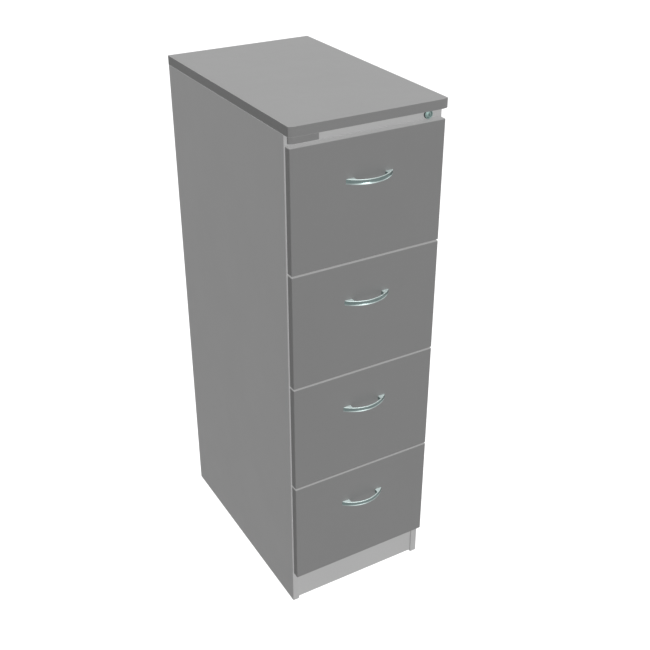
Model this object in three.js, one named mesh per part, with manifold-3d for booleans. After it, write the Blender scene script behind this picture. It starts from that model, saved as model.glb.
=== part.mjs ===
// Four-drawer filing cabinet in folded sheet steel, for A4 suspension files.
//
// The carcass is two double-skinned side panels, a double-skinned top, a back, a base, a plinth and
// cross rails. Each drawer is a welded tray behind a double-skinned front with a bow handle, and it
// runs on a pair of three-member ball-bearing slides. A cylinder lock lifts a bar inside the right
// side panel, and the bar's dogs rise in front of the catches on the trays.
//
// Millimetres, +Z up, the fronts face -Y. The origin is at floor level, under the middle of the
// whole cabinet's box. Inside the frame group, y = 0 is the front plane of the carcass.

import * as THREE from "three";
import { mergeVertices } from "three/addons/utils/BufferGeometryUtils.js";
import Module from "manifold-3d";

const wasm = await Module();
wasm.setup();

// ---------------------------------------------------------------- driving dimensions

const cabinetWidth = 400;
const cabinetDepth = 617; // carcass front plane to the back
const cabinetHeight = 1336;
const drawerCount = 4;

const sheet = 0.8; // sheet steel, every folded panel
const gap = 0.3; // between pieces that lie against each other
const linerFlange = 12; // depth of the inner skin of a double-skinned panel

const sideThickness = 18;
const topThickness = 22.5;
const topFrontOverhang = 24;
const topCornerRadius = 38; // of the shallow arc that eases each front corner
const topCornerRun = 18; // how far that arc runs along the front edge
const backFlange = 12;
const backFloorGap = 3;

const railReveal = 24.9; // front rail seen between the top and the first drawer
const railHeight = 32.5;
const railDepth = 28;
const plinthReveal = 98.8; // floor to the lowest drawer front
const plinthRecess = 5;
const plinthFloorGap = 3;
const plinthDepth = 20;
const baseFlange = 20;
const baseRearGap = 2; // base panel to back panel
const dividerHeight = 18;
const dividerDepth = 19;

const frontThickness = 18;
const frontStandOff = 1.4; // closed drawer front to the carcass front plane
const frontSideInset = 2.7;
const frontGap = 3; // between one drawer front and the next

const trayFloorClearance = 6.5; // tray above the divider or base below it
const fileHeadroom = 28.5; // tray top to the divider or rail above it
const trayRearOverhang = 12; // tray past the back end of its slides
const hemWidth = 5; // folded top edge that the suspension files hang on
const hemDepth = 12;

const slideThickness = 12.7;
const slideHeight = 45;
const slideWall = 1.5;
const slideFrontInset = 8;
const slideRearClearance = 59; // back end of a slide to the back of the carcass
const slideRise = 17.5; // underside of a slide above the tray bottom
const ballRace = 2.4; // height of the ball track between two slide members
const slideWebGap = 1.2; // between the webs of nested slide members
const slideLipGap = 0.7; // flange tips to the member across from them

const handleLength = 121;
const handleProjection = 25.5; // strap's outer face from the drawer front
const handleHeight = 12.5;
const handleStrap = 3;
const handleFootWidth = 20;
const handleDrop = 99; // handle centre below the top edge of its drawer front

const nameplateWidth = 70.7;
const nameplateHeight = 14.4;
const nameplateThickness = 3;
const nameplateLeg = 17; // depth of the leg that lies under the top
const nameplateEnd = 9; // depth of the plate's folded left end

const lockInset = 39; // lock axis from the right face of the cabinet
const lockDrop = 14; // lock axis below the underside of the top
const lockFlangeRadius = 10.5;
const lockBodyRadius = 9;
const lockProjection = 6;
const lockBodyLength = 22;
const lockBarrelRadius = 7.5;
const lockBarrelLength = 30; // behind the carcass front plane
const lockNutRadius = 12.5; // corner radius of the hexagon
const lockNutThickness = 5;
const keywayWidth = 1.4;
const keywayHeight = 8;
const keywayDepth = 4;

const camThickness = 3;
const camRadius = 7;
const crankRadius = 7; // drive pin from the lock axis
const crankAngle = Math.PI / 4; // pin below the lock axis when unlocked, and above it when locked
const pinRadius = 2;
const pinLength = 5;
const pinClearance = 0.6;
const yokeThickness = 3;
const yokeGap = 0.7; // cam to the lock bar's arm
const yokeWall = 2.4; // metal round the slot in the arm

const lockBarThickness = 3;
const lockBarWidth = 14;
const lockBarInset = 6; // lock bar outside the inner face of the side panel
const lockBarTail = 10; // bar past the lowest dog
const dogWidth = 8;
const dogHeight = 10;
const dogClearance = 3; // dog tips to the tray side
const dogPlay = 1; // dog to catch, both ways
const catchReach = 9;
const catchHeight = 12;
const catchThickness = 3;
const catchRise = 110; // catch above the tray bottom

const footRadius = 16;
const footPad = 6;
const footStud = 5;
const footCollarRadius = 9;
const footCollarHeight = 13;
const footSideInset = 30; // foot axis from the inner face of the side panel
const footEndInset = 48; // foot axis from the front and back of the carcass

const arcSegments = 12; // steps in a quarter of a corner or half of a handle
const roundSegments = 40; // steps round a lock part or foot

// ---------------------------------------------------------------- worked-out places

const halfWidth = cabinetWidth / 2;
const innerHalf = halfWidth - sideThickness; // to the inner face of a side panel
const betweenSides = innerHalf - gap; // half width of what fits between the side panels
const carcassTop = cabinetHeight - topThickness;

const frontHalf = halfWidth - frontSideInset;
const frontBack = -frontStandOff;
const frontFace = frontBack - frontThickness;
const frontHeight =
  (carcassTop - railReveal - plinthReveal - (drawerCount - 1) * frontGap) / drawerCount;
const drawerPitch = frontHeight + frontGap;

const dividerOverlap = (dividerHeight - frontGap) / 2; // divider behind a front's top or bottom edge
const trayHalf = innerHalf - slideThickness - 2 * gap;
const trayBottom = dividerOverlap + trayFloorClearance; // above the bottom edge of its front
const trayHeight = frontHeight - trayBottom - dividerOverlap - fileHeadroom;
const slideLength = cabinetDepth - slideFrontInset - slideRearClearance;
const trayBack = slideFrontInset + slideLength + trayRearOverhang;

const lockX = halfWidth - lockInset;
const lockZ = carcassTop - lockDrop;
const camFront = lockBarrelLength + gap;
const camBack = camFront + camThickness;
const armFront = camBack + yokeGap;
const armBack = armFront + yokeThickness;
const pinX = crankRadius * Math.cos(crankAngle); // from the lock axis, unlocked or locked
const pinZ = crankRadius * Math.sin(crankAngle);
const slotHalf = pinRadius + pinClearance;
const armHalf = slotHalf + yokeWall;
const barLow = innerHalf + lockBarInset; // inner face of the lock bar
const barFront = armFront - (lockBarWidth - yokeThickness) / 2;
const barTravel = 2 * pinZ;
const dogFront = barFront + (lockBarWidth - dogWidth) / 2;
const catchFront = dogFront + dogWidth + dogPlay;
const dogTop = trayBottom + catchRise - dogPlay; // above the bottom edge of the drawer front

// ---------------------------------------------------------------- solids

// A closed solid from a three.js geometry.
function solidOf(geometry) {
  const bare = new THREE.BufferGeometry();
  const plain = geometry.index ? geometry.toNonIndexed() : geometry;
  bare.setAttribute("position", plain.getAttribute("position"));
  const merged = mergeVertices(bare, 1e-4);
  const mesh = new wasm.Mesh({
    numProp: 3,
    vertProperties: new Float32Array(merged.attributes.position.array),
    triVerts: new Uint32Array(merged.index.array),
  });
  return new wasm.Manifold(mesh);
}

// A three.js geometry from a solid.
function geometryOf(solid) {
  const mesh = solid.getMesh();
  const geometry = new THREE.BufferGeometry();
  geometry.setAttribute("position", new THREE.BufferAttribute(mesh.vertProperties, 3));
  geometry.setIndex(new THREE.BufferAttribute(mesh.triVerts, 1));
  geometry.computeVertexNormals();
  return geometry;
}

// A box between two corners.
function block(low, high) {
  const size = high.map((value, axis) => value - low[axis]);
  const middle = high.map((value, axis) => (value + low[axis]) / 2);
  return solidOf(new THREE.BoxGeometry(...size).translate(...middle));
}

// A folded pan: a box of sheet between two corners, open on one side.
const OPEN_X = 0;
const OPEN_Y = 1;
function pan(low, high, axis, side) {
  const innerLow = low.map((value) => value + sheet);
  const innerHigh = high.map((value) => value - sheet);
  if (side > 0) innerHigh[axis] = high[axis] + sheet;
  else innerLow[axis] = low[axis] - sheet;
  return block(low, high).subtract(block(innerLow, innerHigh));
}

// A shape drawn in plan, raised from one height to another.
function plate(shape, low, high) {
  const settings = { depth: high - low, bevelEnabled: false, curveSegments: arcSegments };
  return solidOf(new THREE.ExtrudeGeometry(shape, settings).translate(0, 0, low));
}

// A shape drawn in X and Z, run from one Y to another.
function extrusion(shape, front, back) {
  const settings = { depth: back - front, bevelEnabled: false, curveSegments: arcSegments };
  const geometry = new THREE.ExtrudeGeometry(shape, settings);
  return solidOf(geometry.rotateX(Math.PI / 2).translate(0, back, 0));
}

// A cylinder along Y, on an axis through x and z.
function rodAlongY(radius, front, back, x = 0, z = 0, segments = roundSegments) {
  const geometry = new THREE.CylinderGeometry(radius, radius, back - front, segments);
  return solidOf(geometry.translate(x, (front + back) / 2, z));
}

// The plan of the top, drawn inset from its edges. Each front corner is eased by a shallow arc that
// meets the side in a crisp edge.
function topOutline(inset) {
  const quarter = Math.PI / 2;
  const radius = topCornerRadius - inset;
  const turn = Math.asin((topCornerRun - inset) / radius);
  const centreX = halfWidth - topCornerRun;
  const centreY = topCornerRadius - topFrontOverhang;
  const shape = new THREE.Shape();
  shape.moveTo(halfWidth - inset, cabinetDepth - inset);
  shape.lineTo(inset - halfWidth, cabinetDepth - inset);
  shape.absarc(-centreX, centreY, radius, 3 * quarter - turn, 3 * quarter);
  shape.absarc(centreX, centreY, radius, 3 * quarter, 3 * quarter + turn);
  shape.closePath();
  return shape;
}

// The section of a C-channel: its web stands at x = 0 and its flanges point along +X.
function channelShape(height, depth, wall) {
  const half = height / 2;
  const shape = new THREE.Shape();
  shape.moveTo(0, -half);
  shape.lineTo(depth, -half);
  shape.lineTo(depth, -half + wall);
  shape.lineTo(wall, -half + wall);
  shape.lineTo(wall, half - wall);
  shape.lineTo(depth, half - wall);
  shape.lineTo(depth, half);
  shape.lineTo(0, half);
  shape.closePath();
  return shape;
}

// A C-channel that lies across the cabinet, its web in front, centred on its own origin.
function crossRail(height, depth) {
  const rail = extrusion(channelShape(height, depth, sheet), -betweenSides, betweenSides);
  return rail.rotate([0, 0, 90]);
}

// ---------------------------------------------------------------- materials

function lightPaint() {
  return new THREE.MeshStandardMaterial({ color: 0xc6c7c5, roughness: 0.5, metalness: 0.1 });
}

function darkPaint() {
  return new THREE.MeshStandardMaterial({ color: 0x8f908f, roughness: 0.5, metalness: 0.1 });
}

function chrome() {
  return new THREE.MeshStandardMaterial({ color: 0xb4cfd2, roughness: 0.15, metalness: 1 });
}

function zinc() {
  return new THREE.MeshStandardMaterial({ color: 0xb8bcc0, roughness: 0.35, metalness: 1 });
}

function blackPlastic() {
  return new THREE.MeshStandardMaterial({ color: 0x2b2c2d, roughness: 0.6, metalness: 0 });
}

function badgePlate() {
  return new THREE.MeshStandardMaterial({ color: 0x77797a, roughness: 0.4, metalness: 0.6 });
}

// ---------------------------------------------------------------- scene graph

const cabinet = new THREE.Group();
const carcass = new THREE.Group(); // y = 0 is the front plane of the carcass
carcass.position.y = -(cabinetDepth + frontFace - handleProjection) / 2;
cabinet.add(carcass);

function place(parent, name, solid, material, x = 0, y = 0, z = 0) {
  const mesh = new THREE.Mesh(geometryOf(solid), material);
  mesh.name = name;
  mesh.position.set(x, y, z);
  parent.add(mesh);
  return mesh;
}

// ---------------------------------------------------------------- carcass

// The outer skin of a side panel: a pan that stands on the floor and opens inwards. It is drawn for
// the right side, about the middle of the cabinet's depth, and turned round for the left.
function sideShell() {
  const half = cabinetDepth / 2;
  return pan([innerHalf, -half, 0], [halfWidth, half, carcassTop - gap], OPEN_X, -1);
}

// The inner skin nests in the outer one and carries the slides.
function sideLiner() {
  const half = cabinetDepth / 2 - sheet - gap;
  const low = [innerHalf, -half, sheet + gap];
  const high = [innerHalf + linerFlange, half, carcassTop - sheet - 2 * gap];
  return pan(low, high, OPEN_X, 1);
}

// The slots in the right inner skin, for the lock bar's dogs and for its arm.
function lockSlots() {
  const middle = cabinetDepth / 2;
  const inner = innerHalf - sheet;
  const outer = innerHalf + 2 * sheet;
  const armSlot = block(
    [inner, armFront - pinClearance - middle, lockZ - pinZ - armHalf - pinClearance],
    [outer, armBack + pinClearance - middle, lockZ + pinZ + armHalf + pinClearance],
  );
  let slots = armSlot;
  for (let level = 0; level < drawerCount; level += 1) {
    const top = frontBottom(level) + dogTop;
    const dogSlot = block(
      [inner, dogFront - pinClearance - middle, top - dogHeight - pinClearance],
      [outer, dogFront + dogWidth + pinClearance - middle, top + barTravel + pinClearance],
    );
    slots = slots.add(dogSlot);
  }
  return slots;
}

function addSides() {
  const middle = cabinetDepth / 2;
  place(carcass, "side_panel_right", sideShell(), lightPaint(), 0, middle);
  place(carcass, "side_liner_right", sideLiner().subtract(lockSlots()), lightPaint(), 0, middle);
  place(carcass, "side_panel_left", sideShell(), lightPaint(), 0, middle).rotation.z = Math.PI;
  place(carcass, "side_liner_left", sideLiner(), lightPaint(), 0, middle).rotation.z = Math.PI;
}

// The top is a deep pan, open below, with a shallow one nested in it as its underside.
function addTop() {
  const inset = sheet + gap;
  const shell = plate(topOutline(0), carcassTop, cabinetHeight).subtract(
    plate(topOutline(sheet), carcassTop - sheet, cabinetHeight - sheet),
  );
  place(carcass, "top_panel", shell, darkPaint());

  const linerTop = carcassTop + linerFlange;
  const liner = plate(topOutline(inset), carcassTop, linerTop).subtract(
    plate(topOutline(inset + sheet), carcassTop + sheet, linerTop + sheet),
  );
  place(carcass, "top_liner", liner, darkPaint());
}

function addBack() {
  const low = [-betweenSides, cabinetDepth - backFlange, backFloorGap];
  const high = [betweenSides, cabinetDepth, carcassTop - gap];
  place(carcass, "back_panel", pan(low, high, OPEN_Y, -1), lightPaint());
}

// The base is a pan turned upside down behind the plinth.
function addBaseAndPlinth() {
  const plinthHeight = plinthReveal - sheet - plinthFloorGap;
  const plinthMiddle = plinthFloorGap + plinthHeight / 2;
  const plinth = crossRail(plinthHeight, plinthDepth);
  place(carcass, "plinth_panel", plinth, lightPaint(), 0, plinthRecess, plinthMiddle);

  const baseTop = plinthReveal - sheet;
  const front = plinthRecess + plinthDepth + gap;
  const back = cabinetDepth - backFlange - baseRearGap;
  const box = block([-betweenSides, front, baseTop - baseFlange], [betweenSides, back, baseTop]);
  const hollow = block(
    [sheet - betweenSides, front + sheet, baseTop - baseFlange - sheet],
    [betweenSides - sheet, back - sheet, baseTop - sheet],
  );
  place(carcass, "base_panel", box.subtract(hollow), lightPaint());
}

// A levelling foot: a pad, a stud and the collar nut that it screws up into under the base.
function levellingFoot() {
  const top = plinthReveal - 2 * sheet - gap;
  const profile = [
    new THREE.Vector2(0, 0),
    new THREE.Vector2(footRadius, 0),
    new THREE.Vector2(footRadius, footPad),
    new THREE.Vector2(footStud, footPad),
    new THREE.Vector2(footStud, top - footCollarHeight),
    new THREE.Vector2(footCollarRadius, top - footCollarHeight),
    new THREE.Vector2(footCollarRadius, top),
    new THREE.Vector2(0, top),
  ];
  return solidOf(new THREE.LatheGeometry(profile, roundSegments).rotateX(Math.PI / 2));
}

function addFeet() {
  const footX = innerHalf - footSideInset;
  for (const [end, y] of [["front", footEndInset], ["rear", cabinetDepth - footEndInset]]) {
    place(carcass, `foot_${end}_left`, levellingFoot(), blackPlastic(), -footX, y);
    place(carcass, `foot_${end}_right`, levellingFoot(), blackPlastic(), footX, y);
  }
}

// The rail above the first drawer holds the lock. A divider stands behind each gap between fronts.
function addRails() {
  const railMiddle = carcassTop - gap - railHeight / 2;
  const lockHole = rodAlongY(lockBodyRadius + gap, -sheet, 2 * sheet, lockX, lockZ - railMiddle);
  const rail = crossRail(railHeight, railDepth).subtract(lockHole);
  place(carcass, "front_rail", rail, lightPaint(), 0, 0, railMiddle);
  for (let level = 1; level < drawerCount; level += 1) {
    const z = frontBottom(level) + frontHeight + frontGap / 2;
    const divider = crossRail(dividerHeight, dividerDepth);
    place(carcass, `divider_rail_${level}`, divider, lightPaint(), 0, 0, z);
  }
}

// A blank plate under the left end of the top, whose face follows the top's front edge.
function addNameplate() {
  const right = nameplateWidth - halfWidth;
  const top = carcassTop - gap;
  const bottom = top - nameplateHeight;
  const band = plate(topOutline(0), bottom, top).subtract(
    plate(topOutline(nameplateThickness), bottom - sheet, top - sheet),
  );
  const back = nameplateLeg - topFrontOverhang;
  const left = block([-halfWidth, -topFrontOverhang, bottom], [right, nameplateEnd - topFrontOverhang, top]);
  const leg = block([-halfWidth, -topFrontOverhang, top - sheet], [right, back, top]);
  place(carcass, "nameplate", band.intersect(left.add(leg)), badgePlate());
}

// ---------------------------------------------------------------- lock

function addLock() {
  const bore = rodAlongY(lockBarrelRadius + gap, -2 * lockProjection, 2 * lockBodyLength);
  const housing = rodAlongY(lockFlangeRadius, -lockProjection, -gap)
    .add(rodAlongY(lockBodyRadius, -2 * gap, lockBodyLength))
    .subtract(bore);
  place(carcass, "lock_housing", housing, chrome(), lockX, 0, lockZ);

  const nutFront = sheet + gap;
  const nut = rodAlongY(lockNutRadius, nutFront, nutFront + lockNutThickness, 0, 0, 6).subtract(
    rodAlongY(lockBodyRadius + gap, 0, 2 * (nutFront + lockNutThickness)),
  );
  place(carcass, "lock_nut", nut, zinc(), lockX, 0, lockZ);

  const barrel = rodAlongY(lockBarrelRadius, -lockProjection, lockBarrelLength).subtract(
    block(
      [-keywayWidth / 2, -2 * lockProjection, -keywayHeight / 2],
      [keywayWidth / 2, keywayDepth - lockProjection, keywayHeight / 2],
    ),
  );
  place(carcass, "lock_barrel", barrel, chrome(), lockX, 0, lockZ);

  const cam = rodAlongY(camRadius, camFront, camBack)
    .add(rodAlongY(pinRadius + yokeWall, camFront, camBack, pinX, -pinZ))
    .add(rodAlongY(pinRadius, camFront, camBack + pinLength, pinX, -pinZ));
  place(carcass, "lock_cam", cam, zinc(), lockX, 0, lockZ);
}

// The bar hangs inside the right side panel, with an arm for the cam's pin and a dog for each drawer.
function addLockBar() {
  const armMiddle = lockZ - pinZ;
  const barBottom = frontBottom(drawerCount - 1) + dogTop - dogHeight - lockBarTail;
  const barTop = armMiddle + armHalf;
  const inBar = barLow + lockBarThickness / 2;
  let bar = block(
    [barLow, barFront, barBottom],
    [barLow + lockBarThickness, barFront + lockBarWidth, barTop],
  );
  const slotLow = lockX + pinX - slotHalf;
  const slotHigh = lockX + crankRadius + slotHalf;
  const arm = block(
    [slotLow - yokeWall, armFront, armMiddle - armHalf],
    [inBar, armBack, armMiddle + armHalf],
  );
  const slot = block(
    [slotLow, armFront - sheet, armMiddle - slotHalf],
    [slotHigh, armBack + sheet, armMiddle + slotHalf],
  );
  bar = bar.add(arm.subtract(slot));
  for (let level = 0; level < drawerCount; level += 1) {
    const top = frontBottom(level) + dogTop;
    const dog = block(
      [trayHalf + dogClearance, dogFront, top - dogHeight],
      [inBar, dogFront + dogWidth, top],
    );
    bar = bar.add(dog);
  }
  place(carcass, "lock_bar", bar, zinc());
}

// ---------------------------------------------------------------- slides

// The three nested members of the right-hand slide, about its own middle: the cabinet and
// intermediate members open towards the drawer, and the drawer member opens away from it.
// x = 0 is the face against the tray. Turned round, each one serves on the left.
function slideMember(height, webFace, flangeTip) {
  const depth = Math.abs(webFace - flangeTip);
  const bar = extrusion(channelShape(height, depth, slideWall), -slideLength / 2, slideLength / 2);
  const turned = webFace > flangeTip ? bar.rotate([0, 0, 180]) : bar;
  return turned.translate([webFace, 0, 0]);
}

function cabinetMember() {
  return slideMember(slideHeight, slideThickness, slideWall + slideLipGap);
}

function intermediateMember() {
  const height = slideHeight - 2 * (slideWall + ballRace);
  const webFace = slideThickness - slideWall - slideWebGap;
  return slideMember(height, webFace, slideWall + slideLipGap);
}

function drawerMember() {
  const height = slideHeight - 4 * (slideWall + ballRace);
  const flangeTip = slideThickness - 2 * (slideWall + slideWebGap);
  return slideMember(height, 0, flangeTip);
}

function addSlidePair(parent, name, member) {
  const x = trayHalf + gap;
  const y = slideFrontInset + slideLength / 2;
  const z = trayBottom + slideRise + slideHeight / 2;
  place(parent, `${name}_right`, member(), zinc(), x, y, z);
  place(parent, `${name}_left`, member(), zinc(), -x, y, z).rotation.z = Math.PI;
}

// ---------------------------------------------------------------- drawers

// Bottom edge of a drawer's front above the floor; level 0 is the top drawer.
function frontBottom(level) {
  return plinthReveal + (drawerCount - 1 - level) * drawerPitch;
}

// The outer skin of a drawer front, open behind.
function frontShell() {
  return pan([-frontHalf, frontFace, 0], [frontHalf, frontBack, frontHeight], OPEN_Y, 1);
}

// The section across a tray: its bottom, and its sides with their tops folded in and down.
function traySection() {
  const top = trayBottom + trayHeight;
  const right = [
    [trayHalf, trayBottom],
    [trayHalf, top],
    [trayHalf - hemWidth, top],
    [trayHalf - hemWidth, top - hemDepth],
    [trayHalf - hemWidth + sheet, top - hemDepth],
    [trayHalf - hemWidth + sheet, top - sheet],
    [trayHalf - sheet, top - sheet],
    [trayHalf - sheet, trayBottom + sheet],
  ];
  const left = right.map(([x, z]) => [-x, z]).reverse();
  return new THREE.Shape([...right, ...left].map(([x, z]) => new THREE.Vector2(x, z)));
}

// The welded drawer body: the inner skin of the front, the folded tray, its back and the lock catch.
function trayBody() {
  const inset = sheet + gap;
  const skin = pan(
    [inset - frontHalf, frontBack - linerFlange, inset],
    [frontHalf - inset, frontBack, frontHeight - inset],
    OPEN_Y,
    -1,
  );
  const folded = extrusion(traySection(), frontBack - sheet, trayBack);
  const back = block(
    [-trayHalf, trayBack - sheet, trayBottom],
    [trayHalf, trayBack, trayBottom + trayHeight],
  );
  const catchBottom = trayBottom + catchRise;
  const lockCatch = block(
    [trayHalf - sheet, catchFront, catchBottom],
    [trayHalf + catchReach, catchFront + catchThickness, catchBottom + catchHeight],
  );
  return skin.add(folded).add(back).add(lockCatch);
}

// A bow handle, about the middle of the face it stands on: a thin arched strap on two wedge feet.
function bowHandle() {
  const depth = handleProjection - gap;
  const half = handleLength / 2;
  const radius = (half * half + depth * depth) / (2 * depth);
  const centre = radius - depth;
  const inner = radius - handleStrap;
  const outerAngle = Math.asin(centre / radius);
  const innerAngle = Math.acos((half - handleFootWidth) / inner);
  const outline = new THREE.Shape();
  outline.absarc(0, centre, radius, outerAngle - Math.PI, -outerAngle, false);
  outline.lineTo(half - handleFootWidth, 0);
  outline.absarc(0, centre, inner, -innerAngle, innerAngle - Math.PI, true);
  outline.lineTo(handleFootWidth - half, 0);
  outline.closePath();
  return plate(outline, -handleHeight / 2, handleHeight / 2);
}

function addDrawer(level) {
  const name = `drawer_${level + 1}`;
  const drawer = new THREE.Group();
  drawer.position.z = frontBottom(level);
  carcass.add(drawer);
  place(drawer, `${name}_front`, frontShell(), darkPaint());
  place(drawer, `${name}_tray`, trayBody(), lightPaint());
  const handleZ = frontHeight - handleDrop;
  place(drawer, `${name}_handle`, bowHandle(), chrome(), 0, frontFace - gap, handleZ);
  addSlidePair(drawer, `${name}_drawer_slide`, drawerMember);
  addSlidePair(drawer, `${name}_middle_slide`, intermediateMember);
  addSlidePair(drawer, `${name}_cabinet_slide`, cabinetMember);
}

addSides();
addTop();
addBack();
addBaseAndPlinth();
addFeet();
addRails();
addNameplate();
addLock();
addLockBar();
for (let level = 0; level < drawerCount; level += 1) addDrawer(level);

export default cabinet;
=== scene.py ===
"""Looks for the four-drawer sheet-steel filing cabinet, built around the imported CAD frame.

Every size and place comes from the frame's boxes or from the named values below, in metres.
Folded panels are open surfaces whose folds are rounded and which are then given the sheet's
thickness; turned parts are spun profiles; every surface has a procedural material.
"""

import math

import bmesh
import bpy
from mathutils import Matrix, Vector


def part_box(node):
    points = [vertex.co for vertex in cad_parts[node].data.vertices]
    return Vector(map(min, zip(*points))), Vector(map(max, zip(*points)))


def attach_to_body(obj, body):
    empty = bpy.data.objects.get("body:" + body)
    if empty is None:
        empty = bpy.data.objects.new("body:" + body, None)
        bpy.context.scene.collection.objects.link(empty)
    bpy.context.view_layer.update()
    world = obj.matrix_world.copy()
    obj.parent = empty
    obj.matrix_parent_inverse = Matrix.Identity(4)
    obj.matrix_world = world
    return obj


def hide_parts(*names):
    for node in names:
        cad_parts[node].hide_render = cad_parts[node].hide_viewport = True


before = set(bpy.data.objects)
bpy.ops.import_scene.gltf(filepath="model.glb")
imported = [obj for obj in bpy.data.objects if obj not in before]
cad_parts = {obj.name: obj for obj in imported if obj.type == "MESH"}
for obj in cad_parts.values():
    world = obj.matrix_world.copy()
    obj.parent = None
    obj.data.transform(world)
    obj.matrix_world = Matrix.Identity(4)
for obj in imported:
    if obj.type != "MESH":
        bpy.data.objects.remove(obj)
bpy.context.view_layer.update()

# ---------------------------------------------------------------- named sizes

X, Y, Z = 0, 1, 2
SIDES = ["left", "right"]
DRAWERS = [f"drawer_{number}" for number in range(1, 5)]

SHEET = 0.0008  # sheet steel of the panels
CLEARANCE = 0.0003  # between parts that lie against each other
FOLD = 0.0018  # outer radius of a fold in a panel
FRONT_FOLD = 0.0022
FOLD_STEPS = 4
SHARP_ANGLE = math.radians(32)  # edges that turn more than this stay crisp
FLAT_ANGLE = 0.3  # edges that turn less than this aren't folds, in radians
SQUARE_ANGLE = 1.0  # edges that turn more than this are corners, in radians
TURN_STEPS = 64  # round a turned part
SMALL_TURN_STEPS = 32
BLOCK_BREAK = 0.0004  # broken edges of solid bars and plates
FINISH_BREAK = 0.00025  # and of carried-over CAD nodes
LOCK_BREAK = 0.0003
BREAK_ANGLE = math.radians(40)
WELD_DISTANCE = 0.00001
TOLERANCE = 0.000001  # within which two places count as the same

TOP_CORNER = 0.038  # radius of the shallow arc at each front corner of the top
TOP_RUN = 0.018  # how far that arc runs along the front edge
TOP_FOLD = 0.0018
CORNER_STEPS = 10
EDGE_STEPS = 3
PRESS_DEPTH = 0.0030  # pressed fields of the back and the tray backs
PRESS_SLOPE = 0.004  # how far their sloping edges run
BACK_FIELDS = 3
BACK_MARGIN = 0.045  # between pressed fields, and round them
REAR_MARGIN = 0.030

PLATE_THICKNESS = 0.003
PLATE_END = 0.009
PLATE_BREAK = 0.0004
LEG_BREAK = 0.0002

PAD_HEIGHT = 0.006  # the moulded pad of a foot, and the boss on it
PAD_EDGE = 0.001
PAD_CROWN = 0.0004  # by which the pad rises towards the boss
BOSS_FOOT = 0.0078
BOSS_RADIUS = 0.0070
BOSS_HEIGHT = 0.0110
STUD_START = 0.0105
STUD_RADIUS = 0.0050
STUD_STEPS = 24
THREAD_DEPTH = 0.0006
THREAD_PITCH = 0.0015
FOOT_COLLAR = 0.013
COLLAR_RADIUS = 0.0090
COLLAR_EDGE = 0.0005

LOCK_FLANGE = 0.0057  # thickness of the rosette in front of the rail
LOCK_BODY = 0.009
KEYWAY = (0.0012, 0.008, 0.0066)
WARD_LOW = (-0.0015, -0.001, -0.0012)  # the keyway's step, from the middle of the barrel's face
WARD_HIGH = (0.0002, 0.004, 0.0002)
BARREL_EDGE = 0.0005
DOME_RISE = 0.0011  # of the barrel's face
DOME_STEPS = 10

SLIDE_WALL = 0.0015
SLIDE_FOLD = 0.0021
BALL_RADIUS = 0.0012
BALL_PITCH = 0.013
BALL_END = 0.030  # first ball from the end of its row's space
BALL_FIT = 0.98  # share of its radius that a ball fills
RETAINER_HALF = (0.0016, 0.004, 0.0003)  # half a retainer's width, its run past the balls, half its height
RETAINER_BREAK = 0.0001

TRAY_BOTTOM = 0.014  # above the lower edge of its front
TRAY_HEIGHT = 0.2452
HEM_WIDTH = 0.005
HEM_DEPTH = 0.012
REAR_FLANGE = 0.009
CATCH_RISE = 0.110  # above the tray bottom
CATCH_HEIGHT = 0.012
CATCH_REACH = 0.009
CATCH_THICKNESS = 0.003
CATCH_BASE = 0.022
CATCH_PLATE = 0.0015
CATCH_BEHIND_FRONT = 0.0405  # behind the front edges of the side panels

HANDLE_STRAP = 0.003
HANDLE_FOOT = 0.020
HANDLE_ROUND = 0.0010
ROUND_STEPS = 4
UPPER_RIM = 0.0009  # of the rims above and below the strap's polished face, linished rougher and painted lighter as a highlight
LOWER_RIM = 0.0027
FLUTE_DEPTH = 0.0011  # of the hollow along the strap's face
FLUTE_EDGE = 0.0013  # left flat above and below it
FLUTE_STEPS = 12
BOW_STEPS = 48

# heads of the handle screws and buffers, as (radius, height) from the face that they sit on
SCREW_HEAD = [(0, 0.0009), (0.0012, 0.0009), (0.0018, 0.0022), (0.0030, 0.0018)]
SCREW_HEAD += [(0.0038, 0.0006), (0.0038, 0)]
BUFFER_HEAD = [(0, 0.0012), (0.0018, 0.00115), (0.0028, 0.0008), (0.0032, 0)]
BUFFER_INSET = 0.0075
BUFFER_END = 0.040

CAMERA_FROM_FRONT = (-1.0977, -1.7258, 1.9859)  # from the foot of the carcass front, in the middle
CAMERA_AZIMUTH = math.radians(-30)
CAMERA_ELEVATION = math.radians(30)
LENS = 54.61
SENSOR = 36.0
CLIP = (0.05, 100.0)

AMBIENT = 0.18  # light from all round, by which the corners darken softly
REFLECTED = 0.45  # how bright the studio looks in polished metal
FLOOR_SIZE = 60.0
FLOOR_SEEN = (0.90, 0.90, 0.90, 1.0)
FLOOR_BOUNCE = (0.30, 0.30, 0.30, 1.0)
SUNS = [  # name, the direction that it stands in, strength, spread in degrees
    ("overhead", (0.02, 0.0, 1.0), 1.05, 30),
    ("frontal", (0.02, -1.0, 0.17), 0.39, 20),
    ("right_fill", (1.0, 0.0, 0.1), 0.16, 20),
    ("rear_fill", (-0.35, 0.93, 0.1), 0.16, 20),
    ("floor_glow", (0.3, -0.2, -1.0), 0.16, 60),
]

# ---------------------------------------------------------------- node helpers


def nodes_of(name):
    """A new node material with an empty Principled shader: (material, tree, shader)."""
    material = bpy.data.materials.new(name)
    material.use_nodes = True
    tree = material.node_tree
    return material, tree, tree.nodes["Principled BSDF"]


def add(tree, kind, **settings):
    """A new node, with the settings given as its properties."""
    node = tree.nodes.new(kind)
    for key, value in settings.items():
        setattr(node, key, value)
    return node


def feed(tree, value, socket):
    """Links a socket, or sets a number."""
    if isinstance(value, bpy.types.NodeSocket):
        tree.links.new(value, socket)
    else:
        socket.default_value = value


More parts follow.
